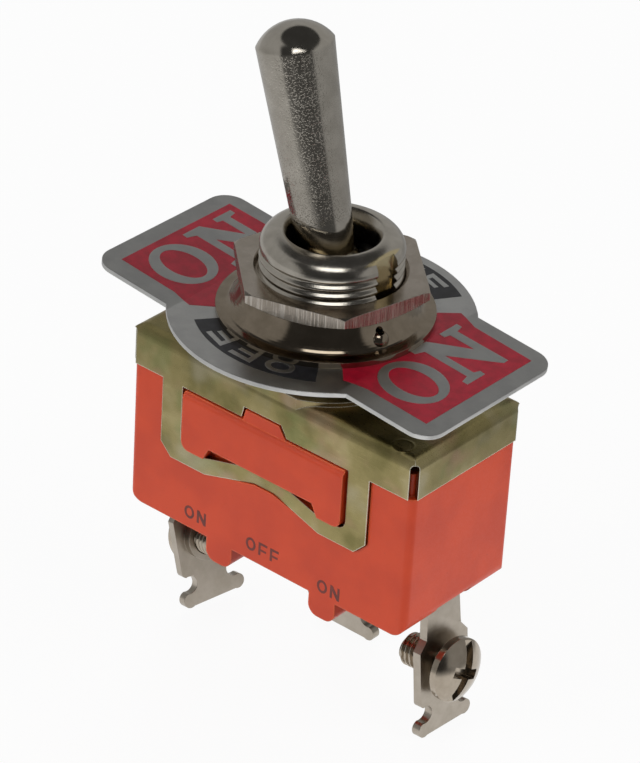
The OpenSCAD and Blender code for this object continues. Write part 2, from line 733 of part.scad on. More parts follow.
// Terminal bent down at the outer end of its leg, towards +X.
// Leg from the rivet at x0, outer face at x1, lean outwards, twist about the length, up how
// far the blade is drawn up.
module terminal(x0, x1, lean, twist, up = 0) {
    cx = x1 - bend_out;
    cz = leg_z - bend_in;
    k = 12;
    difference() {
        union() {
            translate([x0, 0, leg_z]) cylinder(r = neck_w / 2, h = term_t, $fn = 64);
            translate([x0, -neck_w / 2, leg_z]) cube([cx - x0, neck_w, term_t]);
            translate([cx, 0, cz]) along_y(neck_w) intersection() {
                difference() { circle(bend_out, $fn = 64); circle(bend_in, $fn = 48); }
                polygon([[0, 0], [3 * cos(lean), 3 * sin(lean)], [3, 3], [0, 3]]);
            }
            // Neck, twisted between the bend and the blade
            hull() {
                translate([cx, 0, cz]) rotate([0, -lean, 0])
                    translate([bend_in + 0.01, -neck_w / 2 + 0.01, -0.02])
                    cube([term_t - 0.02, neck_w - 0.02, 0.06]);
                blade_place(cx, cz, lean, twist, up)
                    translate([0.01, -neck_w / 2 + 0.01, -neck_l - 0.1])
                    cube([term_t - 0.02, neck_w - 0.02, 0.05]);
            }
            blade_place(cx, cz, lean, twist, up) {
                rotate([90, 0, 90]) linear_extrude(term_t) blade_face();
                // Collar drawn from the sheet for the screw's thread
                translate([-0.75, 0, -screw_v]) rotate([0, 90, 0])
                    cylinder(r = screw_d / 2 + 0.6, h = 0.8, $fn = 48);
            }
        }
        translate([x0, 0, leg_z - 1]) cylinder(r = 1.2 + fit, h = 3, $fn = 48);
        blade_place(cx, cz, lean, twist, up) translate([-2, 0, -screw_v]) rotate([0, 90, 0])
            cylinder(r = screw_d / 2 + fit, h = 5, $fn = 48);
    }
}

// Frame of the blade: x from its inner face outwards, z up its length from the bend
module blade_place(cx, cz, lean, twist, up) {
    translate([cx, 0, cz]) rotate([0, -lean, 0]) translate([bend_in, 0, up])
        translate([term_t / 2, 0, 0]) rotate([0, 0, twist]) translate([-term_t / 2, 0, 0]) children();
}

// Pan-head screw with a slot across and a cross recess, head towards +X, backed out by g
module screw(x1, lean, twist, up = 0, g = 0) {
    hr = head_d / 2;
    side = rim_h;
    dome = head_h - side;
    sr = (hr * hr + dome * dome) / (2 * dome);
    blade_place(x1 - bend_out, leg_z - bend_in, lean, twist, up)
        translate([term_t + g, 0, -screw_v]) rotate([0, 90, 0]) difference() {
            union() {
                cylinder(r = hr, h = side, $fn = 64);
                intersection() {
                    translate([0, 0, side]) cylinder(r = hr, h = dome + 1, $fn = 64);
                    translate([0, 0, head_h - sr]) sphere(sr);
                }
                translate([0, 0, -screw_l]) cylinder(r = screw_d / 2, h = screw_l, $fn = 48);
            }
            rotate([0, 0, slot_turn]) {
                translate([-hr - 1, -slot_w / 2, head_h - slot_d]) cube([2 * hr + 2, slot_w, 3]);
                translate([-slot_w / 2, -cross_l / 2, head_h - slot_d - 0.1])
                    cube([slot_w, cross_l, 3]);
            }
            // Turned point
            translate([0, 0, -screw_l]) rotate_extrude($fn = 48)
                polygon([[1.2, -0.1], [3, -0.1], [3, 0.35], [screw_d / 2 + 0.05, 0.35]]);
        }
}

module terminal_right() { color("#a8a29a") terminal(contact_x, term_x, lean_right, twist_right); }
module screw_right() {
    color("#b4aea6") screw(term_x, lean_right, twist_right, g = screw_out);
}
module terminal_left() {
    color("#a8a29a") mirror([1, 0, 0])
        terminal(contact_x, term_x + out_left, -lean_left, twist_left, out_left);
}
module screw_left() {
    color("#b4aea6") mirror([1, 0, 0])
        screw(term_x + out_left, -lean_left, twist_left, out_left);
}
module terminal_centre() { color("#a8a29a") rotate([0, 0, 90]) terminal(0, term_y, 0, 0); }
module screw_centre() { color("#b4aea6") rotate([0, 0, 90]) screw(term_y, 0, 0); }

// Hexagon nut with a chamfered rim above and below, and a countersunk bore
module nut(z, h, turn) {
    rc = nut_af / 2 / cos(30);
    translate([0, 0, z]) difference() {
        intersection() {
            rotate([0, 0, turn]) cylinder(r = rc, h = h, $fn = 6);
            rotate_extrude() polygon([[0, 0], [nut_af / 2 - 0.28, 0], [rc + 0.05, nut_cut],
                [rc + 0.05, h - 0.15], [rc - 0.3, h], [0, h]]);
        }
        translate([0, 0, -1]) cylinder(r = pitch_r + fit, h = h + 2);
        rotate_extrude() polygon([[pitch_r - 1, h - 0.5], [pitch_r + fit, h - 0.5], [pitch_r + 0.6, h + 0.01],
            [pitch_r + 0.6, h + 1], [pitch_r - 1, h + 1]]);
    }
}

module front_nut() { color("#b9b4ab") nut(dish_z, nut_t, nut_turn); }
module back_nut() { color("#b9b4ab") nut(back_gap, back_nut_t, 12); }

// Washer with internal teeth
module lock_washer() {
    teeth = 12;
    color("#b9b4ab") translate([0, 0, back_z]) linear_extrude(lock_t) difference() {
        circle(lock_d / 2);
        circle(pitch_r + fit + 0.9);
    }
    color("#b9b4ab") translate([0, 0, back_z]) linear_extrude(lock_t) difference() {
        for (i = [0 : teeth - 1]) rotate(i * 360 / teeth) translate([pitch_r + 0.75, 0])
            square([1.7, 1.5], center = true);
        circle(pitch_r + fit, $fn = 64);
    }
}

// Dished washer: flat rim on the plate, drawn up to the nut
module dished_washer() {
    R = dish_d / 2;
    h = dish_h;
    t = dish_t;
    n = 10;
    dimple = -14;
    // Outer skin from the rim in and up to the nut's face
    skin = [for (i = [0 : n]) let (u = i / n)
        [R - 0.75 - 1.55 * u, t + 0.1 + (h - t - 0.1) * (1 - pow(cos(90 * u), 1.15))]];
    color("#aaa59c") translate([-0.19, -0.15, plate_z]) difference() {
        union() {
            rotate_extrude() polygon(concat(
                [[thread_r + 0.35, h], [thread_r + 0.35, h - t], [R - 2.3 - 0.35, h - t]],
                [for (i = [n - 1 : -1 : 1]) [skin[i][0] - t * 0.95, max(0, skin[i][1] - t * 0.9)]],
                [[R - 1.35, 0], [R, 0], [R, t], [R - 0.25, t + 0.05]], skin));
            // Lanced dimple, open above
            rotate([0, 0, dimple]) translate([R - 1.85, 0, t + 0.48]) sphere(0.85, $fn = 48);
        }
        rotate([0, 0, dimple]) translate([R - 1.7, 0, t + 1.4]) rotate([0, 60, 0])
            cylinder(r = 0.35, h = 2.4, center = true, $fn = 24);
    }
}

// Outline of the legend plate
module plate_face() {
    difference() {
        union() {
            circle(disc_d / 2, $fn = 160);
            round_rect(wing_l, wing_w, wing_r);
        }
        circle(plate_r, $fn = 96);
    }
}

// One wing with its share of the disc, bent by a about the line at bend_x
module plate_wing(a) {
    m = plate_t / 2;
    translate([bend_x, 0, m]) rotate([0, a, 0]) translate([-bend_x, 0, -m]) linear_extrude(plate_t)
        intersection() {
            plate_face();
            translate([bend_x - 0.02, -wing_w]) square([wing_l, 2 * wing_w]);
        }
}

module on_off_plate() {
    color("#8e8e90") translate([plate_dx, plate_dy, lock_z]) {
        linear_extrude(plate_t) intersection() {
            plate_face();
            square([2 * bend_x, 4 * wing_w], center = true);
        }
        plate_wing(bend_right);
        rotate([0, 0, 180]) plate_wing(-bend_left);
    }
}

housing();
frame_cover();
bushing();
lever();
lever_pin();
plunger();
plunger_spring();
rocker();
rocker_contact(-1);  // rocker_contact_left
rocker_contact(1);  // rocker_contact_right
rocker_support();
centre_rivet();
fixed_contact_left();
fixed_contact_right();
terminal_left();
terminal_centre();
terminal_right();
screw_left();
screw_centre();
screw_right();
front_nut();
back_nut();
dished_washer();
lock_washer();
on_off_plate();
insulator_sheet();
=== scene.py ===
"""Looks of the panel toggle switch: materials, threads, legend print and lettering, and the studio.

The frame is the part's own, in metres: origin on the bushing's axis at the boss, +Z towards the lever,
+X towards the right end of the housing. Sizes of the part itself are written in millimetres.
"""

import math

import bmesh
import bpy
from mathutils import Matrix, Vector


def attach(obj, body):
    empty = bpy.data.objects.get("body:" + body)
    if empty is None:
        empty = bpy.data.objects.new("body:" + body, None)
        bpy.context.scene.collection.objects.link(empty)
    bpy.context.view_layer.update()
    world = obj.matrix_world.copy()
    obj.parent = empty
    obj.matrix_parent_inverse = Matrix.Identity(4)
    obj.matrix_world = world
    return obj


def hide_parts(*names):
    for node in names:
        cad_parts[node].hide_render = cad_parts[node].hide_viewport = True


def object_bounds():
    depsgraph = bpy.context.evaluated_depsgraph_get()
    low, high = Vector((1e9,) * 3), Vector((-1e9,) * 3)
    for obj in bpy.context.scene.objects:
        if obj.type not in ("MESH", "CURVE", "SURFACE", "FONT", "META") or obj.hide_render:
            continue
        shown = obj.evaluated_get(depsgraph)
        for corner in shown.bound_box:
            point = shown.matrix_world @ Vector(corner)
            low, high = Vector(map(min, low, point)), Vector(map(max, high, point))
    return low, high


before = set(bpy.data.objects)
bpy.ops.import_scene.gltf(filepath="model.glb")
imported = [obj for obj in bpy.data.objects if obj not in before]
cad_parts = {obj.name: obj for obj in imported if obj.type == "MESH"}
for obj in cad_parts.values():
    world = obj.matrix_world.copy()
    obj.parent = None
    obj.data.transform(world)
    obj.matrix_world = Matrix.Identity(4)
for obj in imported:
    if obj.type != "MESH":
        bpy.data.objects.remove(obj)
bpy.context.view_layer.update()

MM = 0.001
FULL_TURN = 2 * math.pi

# Bushing: thread, rim with its rounded lip, bore, keyway and the lever's pivot
THREAD_R, PITCH, THREAD_DEPTH = 5.95, 0.75, 0.29
RIM_Z, LIP_H = 11.9, 1.5
MOUTH_R, NECK_R = 4.0, 3.5
KEY_W, KEY_D = 2.4, 0.6
PIVOT_Z = 7.62
# Frame cover, its boss, and the bushing's flange under it
COVER_SIDE, BOSS_INSET, SHEET_T, FIT = 6.86, 0.06, 0.6, 0.05
FLANGE_R, FLANGE_Z = 6.5, -1.6
# Legend plate and its bends
PLATE_Z, PLATE_T = 3.88, 0.4
PLATE_SHIFT = (-0.4, -0.33)
BEND_X = 9.0
BEND_UP, BEND_DOWN = math.radians(5.65), math.radians(5.15)
HOUSING_FRONT = -6.62
# Terminals: reach of their legs, the bend under the floor, and lean and twist in degrees
TERM_X, OUT_LEFT, CENTRE_Y = 14.05, 0.25, 5.8
BEND_Z, BEND_IN, BLADE_T = -17.89, 0.3, 0.8
LEAN_RIGHT, TWIST_RIGHT = 5.5, -3.5
LEAN_LEFT, TWIST_LEFT = -15, 13.5
# Terminal screws: place down the blade, size, thread, and how far the right one is backed out
SCREW_V, SCREW_R, SCREW_L = 5.8, 1.5, 5.0
SCREW_PITCH, SCREW_DEPTH, SCREW_CREST, SCREW_ROOT = 0.5, 0.27, 0.25, 0.12
SCREW_TIP, TIP_CUT = 0.45, 0.32
SCREW_OUT = 0.95

# Fineness of the round meshes, and the angle from which their edges stay sharp
BUSHING_AROUND, BUSHING_STEPS, LIP_STEPS, KEY_STEPS = 180, 12, 16, 12
SCREW_AROUND, SCREW_STEPS = 40, 10
SHARP_ANGLE = math.radians(40)


def add_object(name, bm, rounded):
    """An object of a mesh in metres; a rounded one is smooth apart from its sharp edges."""
    bm.normal_update()
    for face in bm.faces:
        face.smooth = rounded
    for edge in bm.edges:
        if rounded and len(edge.link_faces) == 2:
            edge.smooth = edge.calc_face_angle(0) < SHARP_ANGLE
    mesh = bpy.data.meshes.new(name)
    bm.to_mesh(mesh)
    bm.free()
    obj = bpy.data.objects.new(name, mesh)
    bpy.context.collection.objects.link(obj)
    return obj


def add_skin(bm, rings, closed):
    """Adds faces over profiles set round an axis; closed profiles join their own ends too."""
    size = len(rings[0])
    grid = [[bm.verts.new(point) for point in ring] for ring in rings]
    for ring, beside in zip(grid, grid[1:] + grid[:1]):
        for here in range(size if closed else size - 1):
            ahead = (here + 1) % size
            bm.faces.new([ring[here], beside[here], beside[ahead], ring[ahead]])
    return [vert for ring in grid for vert in ring]


class Nodes:
    """Short calls that add shader nodes to a material or a world."""

    NUMBER_OPERATIONS = ("DOT_PRODUCT", "LENGTH", "DISTANCE")

    def __init__(self, owner):
        owner.use_nodes = True
        self.tree = owner.node_tree
        self.tree.nodes.clear()

    def add(self, kind, **settings):
        """A new node with its settings."""
        node = self.tree.nodes.new("ShaderNode" + kind)
        for name, value in settings.items():
            setattr(node, name, value)
        return node

    def put(self, value, socket):
        """A number, a colour, a point or another node's output into a socket."""
        if isinstance(value, bpy.types.NodeSocket):
            self.tree.links.new(value, socket)
        else:
            socket.default_value = value

    def math(self, operation, a, b=0.0):
        """A sum, product or other operation on one or two numbers."""
        node = self.add("Math", operation=operation)
        self.put(a, node.inputs[0])
        self.put(b, node.inputs[1])
        return node.outputs[0]

    def vector(self, operation, a, b=(0, 0, 0)):
        """A vector operation, with a number or a vector as its result."""
        node = self.add("VectorMath", operation=operation)
        self.put(a, node.inputs[0])
        self.put(b, node.inputs[1])
        return node.outputs["Value" if operation in self.NUMBER_OPERATIONS else "Vector"]

    def times(self, a, b):
        """Product of two numbers."""
        return self.math("MULTIPLY", a, b)

    def total(self, *terms):
        """Sum of products, each a pair of factors."""
        last = self.times(*terms[0])
        for term in terms[1:]:
            last = self.math("ADD", last, self.times(*term))
        return last

    def largest(self, *values):
        """Largest of several numbers."""
        last = values[0]
        for value in values[1:]:
            last = self.math("MAXIMUM", last, value)
        return last

    def span(self, value, lo, hi, a=0.0, b=1.0):
        """Value from lo..hi to a..b, smooth and clamped."""
        node = self.add("MapRange", interpolation_type="SMOOTHSTEP")
        for item, socket in zip((value, lo, hi, a, b), node.inputs):
            self.put(item, socket)
        return node.outputs[0]


class Surface(Nodes):
    """A material with one Principled shader, whose places are in millimetres."""

    BEVEL_SAMPLES = 6
    # How parallel the plain and the rounded normals are at an edge with a painted highlight and away
    # from it
    EDGE_BAND = (0.88, 0.997)

    def __init__(self, name):
        self.mat = bpy.data.materials.new(name)
        super().__init__(self.mat)
        out = self.add("OutputMaterial")
        self.bsdf = self.add("BsdfPrincipled")
        self.put(self.bsdf.outputs[0], out.inputs[0])
        coord = self.add("TexCoord")
        self.normal = coord.outputs["Normal"]
        scale = self.add("VectorMath", operation="SCALE")
        self.put(coord.outputs["Object"], scale.inputs[0])
        scale.inputs["Scale"].default_value = 1 / MM
        self.place = scale.outputs[0]

    def axes(self, vector):
        """The three parts of a vector."""
        node = self.add("SeparateXYZ")
        self.put(vector, node.inputs[0])
        return node.outputs

    def radius(self, x, y):
        """Distance from an axis along Z, from the two distances across."""
        return self.math("SQRT", self.total((x, x), (y, y)))

    def noise(self, scale, detail, rough, seed, stretch=(1, 1, 1)):
        """Noise with the given number of features per millimetre, 0 to 1."""
        shift = self.add("Mapping")
        self.put(self.place, shift.inputs["Vector"])
        self.put((seed, seed * 0.7, -seed), shift.inputs["Location"])
        self.put(stretch, shift.inputs["Scale"])
        node = self.add("TexNoise")
        self.put(shift.outputs[0], node.inputs["Vector"])
        for name, value in (("Scale", scale), ("Detail", detail), ("Roughness", rough)):
            self.put(value, node.inputs[name])
        return node.outputs[0]

    def ramp(self, value, *stops):
        """Colours or greys eased over a value, each stop a position and a colour."""
        node = self.add("ValToRGB")
        node.color_ramp.interpolation = "EASE"
        while len(node.color_ramp.elements) < len(stops):
            node.color_ramp.elements.new(0.5)
        for element, (position, colour) in zip(node.color_ramp.elements, stops):
            element.position = position
            grey = isinstance(colour, (int, float))
            element.color = (colour, colour, colour, 1) if grey else (*colour, 1)
        self.put(value, node.inputs[0])
        return node.outputs[0]

    def mix(self, share, a, b):
        """One colour going over to another by a share."""
        node = self.add("Mix", data_type="RGBA")
        self.put(share, node.inputs[0])
        for colour, socket in ((a, node.inputs[6]), (b, node.inputs[7])):
            self.put((*colour, 1) if isinstance(colour, tuple) else colour, socket)
        return node.outputs[2]

    def clouded(self, base, tint, noise, lo, hi, most=1.0):
        """A colour that goes over to a tint where a noise is high, by a share of at most."""
        return self.mix(self.ramp(noise, (lo, 0.0), (hi, most)), base, tint)

    def bevel(self, radius):
        """Normal of edges rounded by a radius."""
        node = self.add("Bevel", samples=self.BEVEL_SAMPLES)
        node.inputs["Radius"].default_value = radius * MM
        return node.outputs[0]

    def edge(self, radius, strength):
        """Mask of the edges within a radius, 0 to the strength."""
        plain_normal = self.add("NewGeometry").outputs["Normal"]
        alike = self.vector("DOT_PRODUCT", self.bevel(radius), plain_normal)
        return self.span(alike, *self.EDGE_BAND, strength, 0.0)

    def bump(self, height, distance, strength, normal=None):
        """Bump of a height 0..1 that stands for a distance in millimetres."""
        node = self.add("Bump")
        node.inputs["Strength"].default_value = strength
        node.inputs["Distance"].default_value = distance * MM
        self.put(height, node.inputs["Height"])
        if normal is not None:
            self.put(normal, node.inputs["Normal"])
        return node.outputs[0]

    def finish(self, colour, rough, normal, **others):
        """The finished material; others are plain inputs of the shader, with _ for a space."""
        inputs = self.bsdf.inputs
        self.put(colour, inputs["Base Color"])
        self.put(rough, inputs["Roughness"])
        self.put(normal, inputs["Normal"])
        for name, value in others.items():
            inputs[name.replace("_", " ")].default_value = value
        return self.mat


def srgb(r, g, b):
    """Linear colour of an sRGB one, 0 to 255."""
    return tuple((c / 255 / 12.92) if c / 255 <= 0.04045 else ((c / 255 + 0.055) / 1.055) ** 2.4
                 for c in (r, g, b))


# Tints of the materials, each in a lighter and a darker shade
NICKEL = (srgb(200, 194, 183), srgb(182, 176, 165))
NUT = (srgb(192, 182, 170), srgb(172, 162, 149))
# Washer's nickel, darker than the rest: painted shade of its dark reflections
WASHER_SHADED = (srgb(160, 147, 130), srgb(142, 130, 113))
TERMINAL = (srgb(180, 171, 159), srgb(164, 155, 142))
# Screws' nickel, darker than the rest: painted shade of the dim floor that their heads reflect
SCREW_SHADED = (srgb(178, 167, 152), srgb(160, 149, 134))
STEEL = (srgb(150, 150, 150), srgb(128, 128, 130))
BRASS = (srgb(206, 170, 96), srgb(176, 140, 70))
SILVER = (srgb(220, 218, 212), srgb(190, 188, 182))
NYLON = (srgb(228, 224, 212), srgb(214, 208, 196))
FIBRE = (srgb(120, 84, 56), srgb(98, 66, 44))
ALUMINIUM = (srgb(216, 216, 213), srgb(204, 204, 202))
ORANGE = (srgb(214, 71, 31), srgb(202, 63, 27))
RED_INK = (srgb(156, 12, 38), srgb(136, 9, 32))
BLACK_INK = (srgb(34, 34, 37), srgb(24, 24, 26))
# Dark red of the housing's engraved letters: painted shade of their recesses
ENGRAVED_SHADE = (srgb(112, 34, 20), srgb(92, 27, 16))
# Warm reflections and bright tool marks of the nickel; specks of the housing, and a painted highlight
# on its edges
WARM_NICKEL = srgb(214, 199, 158)
TOOL_MARK = srgb(226, 218, 208)
ORANGE_SPECK, ORANGE_EDGE_HIGHLIGHT = srgb(178, 56, 34), srgb(240, 114, 66)
# Yellow passivated zinc: its golds, its clouds, and a painted highlight along its edges
ZINC = (srgb(126, 118, 74), srgb(154, 142, 96), srgb(176, 163, 118))
ZINC_PINK, ZINC_GREEN = srgb(176, 136, 118), srgb(120, 134, 84)
ZINC_BARE, ZINC_EDGE_HIGHLIGHT = srgb(184, 176, 152), srgb(232, 228, 210)

# Bands of a noise's values between which a surface goes from one look to the other
BROAD, NARROW = (0.3, 0.7), (0.35, 0.65)


def metal(name, light, dark, rough, scratch, dents, bevel=0.06, peel=0.0, pits=0.0, streaks=0.0,
          warm=None):
    """Plated metal: cloudy tint, uneven gloss, fine scratches and soft edges.

    Peel ripples the plating, pits pricks it on the lever's shaft, streaks draws upright tool marks,
    and warm makes the mask of a golden tint.
    """
    t = Surface(name)
    cloud = t.noise(0.6, detail=5, rough=0.6, seed=3)
    colour = t.clouded(dark, light, cloud, *BROAD)
    if warm is not None:
        colour = t.mix(warm(t), colour, WARM_NICKEL)
    lines = t.noise(2.2, detail=3, rough=0.7, seed=5, stretch=(6, 1.0, 0.5))
    relief = [(lines, scratch)]
    if peel:
        relief.append((t.noise(4.5, detail=3, rough=0.6, seed=7), peel))
    if pits:
        pit_edge = (0.53, 0.64)
        points = t.span(t.noise(6.5, detail=2, rough=0.5, seed=17), *pit_edge)
        relief.append((t.times(points, on_shaft(t)), -pits))
    if streaks:
        slope_edge, mark_edge, mark_share = (0.3, 0.6), (0.5, 0.62), 0.7
        upright = t.span(t.math("ABSOLUTE", t.axes(t.normal)[2]), *slope_edge, 1.0, 0.0)
        marks = t.noise(6.5, detail=2, rough=0.5, seed=9, stretch=(1, 1, 0.03))
        marks = t.times(marks, upright)
        relief.append((marks, streaks))
        colour = t.mix(t.span(marks, *mark_edge, 0.0, mark_share), colour, TOOL_MARK)
    gloss = t.span(t.total((cloud, 0.6), (lines, 0.4)), *BROAD, *rough)
    normal = t.bump(t.total(*relief), distance=dents, strength=0.35, normal=t.bevel(bevel))
    return t.finish(colour, gloss, normal, Metallic=1.0)


def in_key(t):
    """Mask of the bushing's keyway."""
    floor_edge, bore_edge, right_edge = (5.52, 5.6), (4.6, 4.8), (5.0, 5.2)
    x, y, z = t.axes(t.place)
    r = t.radius(x, y)
    on_floor = t.times(t.span(r, *floor_edge, 1.0, 0.0), t.span(r, *bore_edge))
    return t.times(on_floor, t.span(x, *right_edge))


def on_shaft(t):
    """Mask of the lever's shaft, between its polished tip and the bushing."""
    lean_x, lean_z = -0.255, 0.967
    tip_edge, foot_edge = (26.8, 27.2), (12.2, 13.2)
    x, y, z = t.axes(t.place)
    along = t.total((z, lean_z), (x, lean_x))
    return t.times(t.span(along, *tip_edge, 1.0, 0.0), t.span(along, *foot_edge))


def at_ball(t):
    """Mask of the lever's ball, in the bushing's mouth."""
    ball_edge, most = (10.2, 12.4), 0.4
    return t.span(t.axes(t.place)[2], *ball_edge, most, 0.0)


def orange_plastic():
    """Moulded urea plastic: slightly mottled, satin, with fine flow marks and painted highlights on
    its edges.
    """
    light, dark = ORANGE
    t = Surface("orange_moulding")
    cloud = t.noise(0.18, detail=4, rough=0.5, seed=2)
    fine = t.noise(6, detail=4, rough=0.65, seed=4)
    colour = t.clouded(dark, light, cloud, *NARROW)
    specks = t.noise(3.5, detail=2, rough=0.5, seed=9)
    speck_edge, speck_share = (0.70, 0.78), 0.5
    colour = t.clouded(colour, ORANGE_SPECK, specks, *speck_edge, speck_share)
    # Painted highlight: a lighter orange along the edges, where their rounding catches the light
    colour = t.mix(t.edge(radius=0.24, strength=0.7), colour, ORANGE_EDGE_HIGHLIGHT)
    gloss = t.span(fine, *BROAD, 0.36, 0.5)
    height = t.total((fine, 1.0), (cloud, 1.5))
    normal = t.bump(height, distance=0.012, strength=0.35, normal=t.bevel(0.16))
    return t.finish(colour, gloss, normal, Specular_IOR_Level=0.45, Subsurface_Weight=0.04,
                    Subsurface_Radius=(0.002, 0.0006, 0.0003), Subsurface_Scale=0.3)


def yellow_zinc():
    """Yellow passivated zinc: olive gold with pink, green and bare clouds, and a stamped ring."""
    stamp_x, stamp_y, stamp_r, stamp_w = 12.8, -5.5, 0.85, 0.22
    t = Surface("yellow_zinc")
    gold = t.noise(0.25, detail=3, rough=0.5, seed=1)
    colour = t.ramp(gold, *zip((0.3, 0.5, 0.7), ZINC))
    for tint, size, seed, band, most in ((ZINC_PINK, 0.22, 14, (0.52, 0.68), 0.42),
                                         (ZINC_GREEN, 0.28, 23, (0.54, 0.7), 0.38),
                                         (ZINC_BARE, 0.2, 31, (0.5, 0.72), 0.5)):
        cloud = t.noise(size, detail=2, rough=0.5, seed=seed)
        colour = t.clouded(colour, tint, cloud, *band, most)
    # Painted highlight: near-white along the cover's edges, where their rounding catches the light
    colour = t.mix(t.edge(radius=0.14, strength=1.0), colour, ZINC_EDGE_HIGHLIGHT)
    fine = t.noise(11, detail=3, rough=0.6, seed=8)
    lines = t.noise(1.6, detail=3, rough=0.7, seed=6, stretch=(0.5, 6, 6))
    gloss = t.span(t.total((fine, 0.5), (lines, 0.5)), *BROAD, 0.24, 0.42)
    x, y, z = t.axes(t.place)
    from_stamp = t.radius(t.math("SUBTRACT", x, stamp_x), t.math("SUBTRACT", y, stamp_y))
    off_ring = t.math("ABSOLUTE", t.math("SUBTRACT", from_stamp, stamp_r))
    stamp = t.span(off_ring, 0.0, stamp_w, 1.0, 0.0)
    height = t.total((fine, 0.12), (lines, 0.1), (stamp, 1.2))
    normal = t.bump(height, distance=0.06, strength=0.4, normal=t.bevel(0.12))
    return t.finish(colour, gloss, normal, Metallic=1.0)


def plate_metal():
    """Satin aluminium of the legend plate."""
    light, dark = ALUMINIUM
    t = Surface("printed_aluminium")
    colour = t.clouded(dark, light, t.noise(0.5, detail=4, rough=0.6, seed=4), *BROAD)
    lines = t.noise(3, detail=3, rough=0.7, seed=5, stretch=(0.35, 5, 5))
    gloss = t.span(lines, *BROAD, 0.3, 0.4)
    normal = t.bump(lines, distance=0.01, strength=0.3, normal=t.bevel(0.1))
    return t.finish(colour, gloss, normal, Metallic=1.0)


def ink(name, light, dark):
    """Baked enamel print, a little uneven; also the painted shade of the housing's engraved letters.
    """
    t = Surface(name)
    colour = t.clouded(dark, light, t.noise(1.2, detail=4, rough=0.6, seed=6), *NARROW)
    fine = t.noise(12, detail=3, rough=0.6, seed=2)
    gloss = t.span(fine, *BROAD, 0.3, 0.42)
    normal = t.bump(fine, distance=0.008, strength=0.3)
    return t.finish(colour, gloss, normal, Specular_IOR_Level=0.5)


def plain(name, light, dark, rough, metallic=0.0):
    """Plain inner part: two tints and a slightly uneven surface."""
    t = Surface(name)
    colour = t.clouded(light, dark, t.noise(0.8, detail=4, rough=0.6, seed=3), *NARROW)
    fine = t.noise(8, detail=3, rough=0.6, seed=5)
    uneven = 0.06
    gloss = t.span(fine, *BROAD, rough - uneven, rough + uneven)
    normal = t.bump(fine, distance=0.02, strength=0.3, normal=t.bevel(0.05))
    return t.finish(colour, gloss, normal, Metallic=metallic)


mats = {
    "housing": orange_plastic(),
    "frame_cover": yellow_zinc(),
    "on_off_plate": plate_metal(),
    "lever": metal("lever_nickel", *NICKEL, rough=(0.06, 0.12), scratch=0.04, dents=0.05,
                   bevel=0.4, pits=1.0, warm=at_ball),
    "nuts": metal("nut_nickel", *NUT, rough=(0.12, 0.24), scratch=0.3, dents=0.06, peel=0.3,
                  streaks=2.0),
    # The washer's darker tint is painted shade of its dark reflections
    "washer": metal("washer_nickel_shaded", *WASHER_SHADED, rough=(0.08, 0.16), scratch=0.3, dents=0.01,
                    peel=0.3),
    "bushing": metal("bushing_nickel", *NICKEL, rough=(0.14, 0.24), scratch=0.6, dents=0.02,
                     peel=0.6, warm=in_key),
    "terminals": metal("terminal_nickel", *TERMINAL, rough=(0.28, 0.38), scratch=0.4, dents=0.01),
    # The screws' darker tint is painted shade of the dim floor that they reflect
    "screws": metal("screw_nickel_shaded", *SCREW_SHADED, rough=(0.12, 0.22), scratch=0.3, dents=0.01),
    "steel": plain("plain_steel", *STEEL, rough=0.35, metallic=1.0),
    "brass": plain("plain_brass", *BRASS, rough=0.35, metallic=1.0),
    "silver": plain("contact_silver", *SILVER, rough=0.32, metallic=1.0),
    "nylon": plain("white_nylon", *NYLON, rough=0.5),
    "fibre": plain("fibre_sheet", *FIBRE, rough=0.7),
    "red": ink("red_print", *RED_INK),
    "black": ink("black_print", *BLACK_INK),
    # The housing's engraved letters: painted shade of their recesses, with the print's shader
    "engraved": ink("engraved_painted_shade", *ENGRAVED_SHADE),
}

NODES_OF = {
    "housing": ["housing"],
    "frame_cover": ["frame_cover"],
    "on_off_plate": ["on_off_plate"],
    "lever": ["lever"],
    "nuts": ["front_nut", "back_nut"],
    "washer": ["dished_washer"],
    "bushing": ["bushing"],
    "terminals": ["terminal_left", "terminal_centre", "terminal_right"],
    "screws": ["screw_left", "screw_centre", "screw_right"],
    "steel": ["lock_washer", "lever_pin", "plunger_spring"],
    "brass": ["rocker", "rocker_support", "centre_rivet"],
    "silver": ["rocker_contact_left", "rocker_contact_right", "fixed_contact_left",
               "fixed_contact_right"],
    "nylon": ["plunger"],
    "fibre": ["insulator_sheet"],
}
for key, nodes in NODES_OF.items():
    for node in nodes:
        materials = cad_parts[node].data.materials
        materials.clear()
        materials.append(mats[key])


def dress(obj, key):
    """Material and body of an added piece; all of them ride on the case."""
    obj.data.materials.append(mats[key])
    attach(obj, "case")


def bushing_depth(z, angle):
    """Depth of the bushing's rolled thread, whose crests and roots are round."""
    return THREAD_DEPTH * (0.5 - 0.5 * math.cos(FULL_TURN * (z / PITCH - angle / FULL_TURN)))


def bushing_angles(half_key):
    """Angles of the profiles round the bushing, closer in the keyway and just outside its edges."""
    outside, half_steps = 1.02, KEY_STEPS // 2
    angles = [FULL_TURN * i / BUSHING_AROUND for i in range(BUSHING_AROUND)]
    for edge in (-half_key, half_key):
        angles += [edge % FULL_TURN, edge * outside % FULL_TURN]
    angles += [half_key * (k / half_steps - 1) % FULL_TURN for k in range(KEY_STEPS + 1)]
    return sorted(set(round(angle, 5) for angle in angles))


